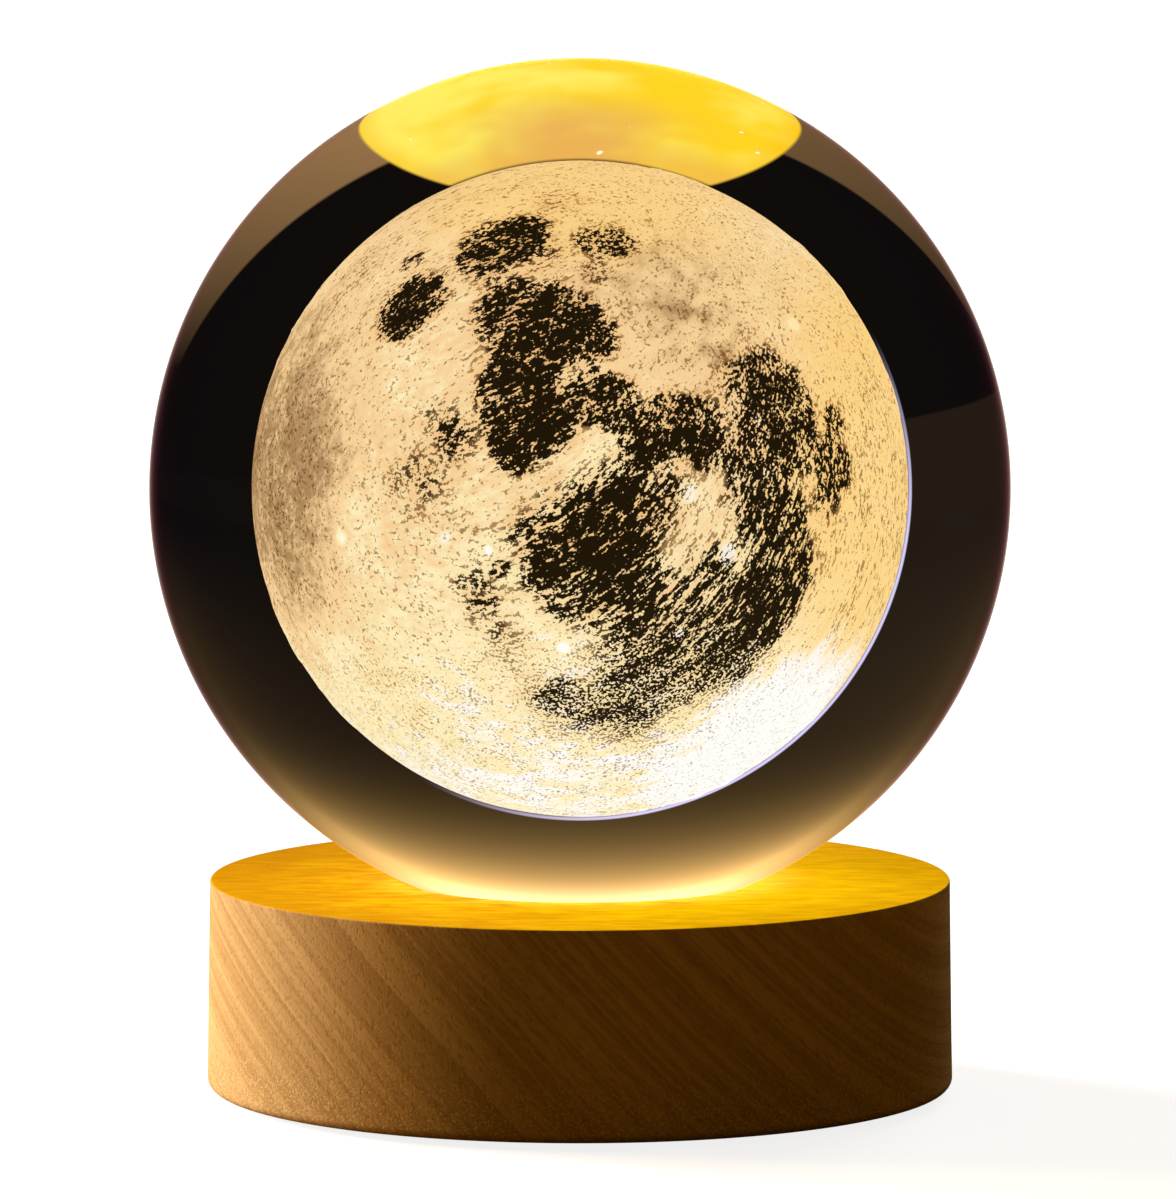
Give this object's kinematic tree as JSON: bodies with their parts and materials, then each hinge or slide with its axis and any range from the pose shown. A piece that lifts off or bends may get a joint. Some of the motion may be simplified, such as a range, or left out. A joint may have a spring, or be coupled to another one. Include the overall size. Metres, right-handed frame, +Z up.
{
  "type": "moon lamp",
  "caption": "Table lamp: a clear crystal ball with an engraved moon rests in a dished round wooden base that lights it from below.",
  "frame": {"origin": "on the table, under the centre of the base", "axes": "+Z up through the centre of the ball, the front is -Y, and the power inlet and the button are at the back, +Y"},
  "size_m": [0.08, 0.08, 0.0965],
  "materials": {
    "clear_glass": "polished crystal, warm from the light under it",
    "engraving": "dense field of tiny white dots, lit from below",
    "beech": "turned beech, fine sanded, matt oil",
    "frosted_lens": "frosted, glowing",
    "white_cup": "white, half gloss",
    "light_board": "white solder mask",
    "light_package": "moulded, white",
    "phosphor": "gel, glowing",
    "screw_steel": "zinc plated",
    "circuit_board": "green solder mask",
    "spacer_brass": "turned",
    "socket_shell": "folded, nickel plated",
    "socket_insulator": "moulded",
    "gold_contact": "gold flashed",
    "switch_black": "moulded",
    "button_grey": "satin",
    "bezel_black": "fine spark texture",
    "resistor_black": "fired film",
    "capacitor_tan": "fired",
    "chip_black": "moulded",
    "tinned_pin": "tinned",
    "connector_white": "moulded",
    "red_insulation": "smooth",
    "black_insulation": "smooth",
    "cover_black": "fine moulded texture",
    "foot_rubber": "matt"
  },
  "bodies": {
    "base": {"wooden_base": "beech", "diffuser_lens": "frosted_lens", "reflector_cup": "white_cup", "led_board": "light_board", "led_packages": "light_package", "led_phosphor": "phosphor", "led_board_screws": "screw_steel", "control_board": "circuit_board", "board_spacers": "spacer_brass", "control_board_screws": "screw_steel", "usb_socket_shell": "socket_shell", "usb_socket_tongue": "socket_insulator", "usb_contacts": "gold_contact", "switch_body": "switch_black", "rear_bezel": "bezel_black", "chip_resistors": "resistor_black", "chip_capacitors": "capacitor_tan", "driver_chip": "chip_black", "driver_chip_pins": "tinned_pin", "lead_connector": "connector_white", "red_lead": "red_insulation", "black_lead": "black_insulation", "bottom_cover": "cover_black", "bottom_cover_screws": "screw_steel", "rubber_feet": "foot_rubber"},
    "crystal": {"crystal_ball": "clear_glass", "engraved_moon": "engraving"},
    "button": {"power_button": "button_grey", "switch_plunger": "switch_black"}
  },
  "joints": [
    {"name": "ball_lift", "type": "slide", "parent": "base", "child": "crystal", "axis": [0, 0, 1], "range_m": [0, 0.07]},
    {"name": "button_press", "type": "slide", "parent": "base", "child": "button", "axis": [0, -1, 0], "range_m": [0, 0.0004], "stiffness_N_per_m": 800}
  ]
}
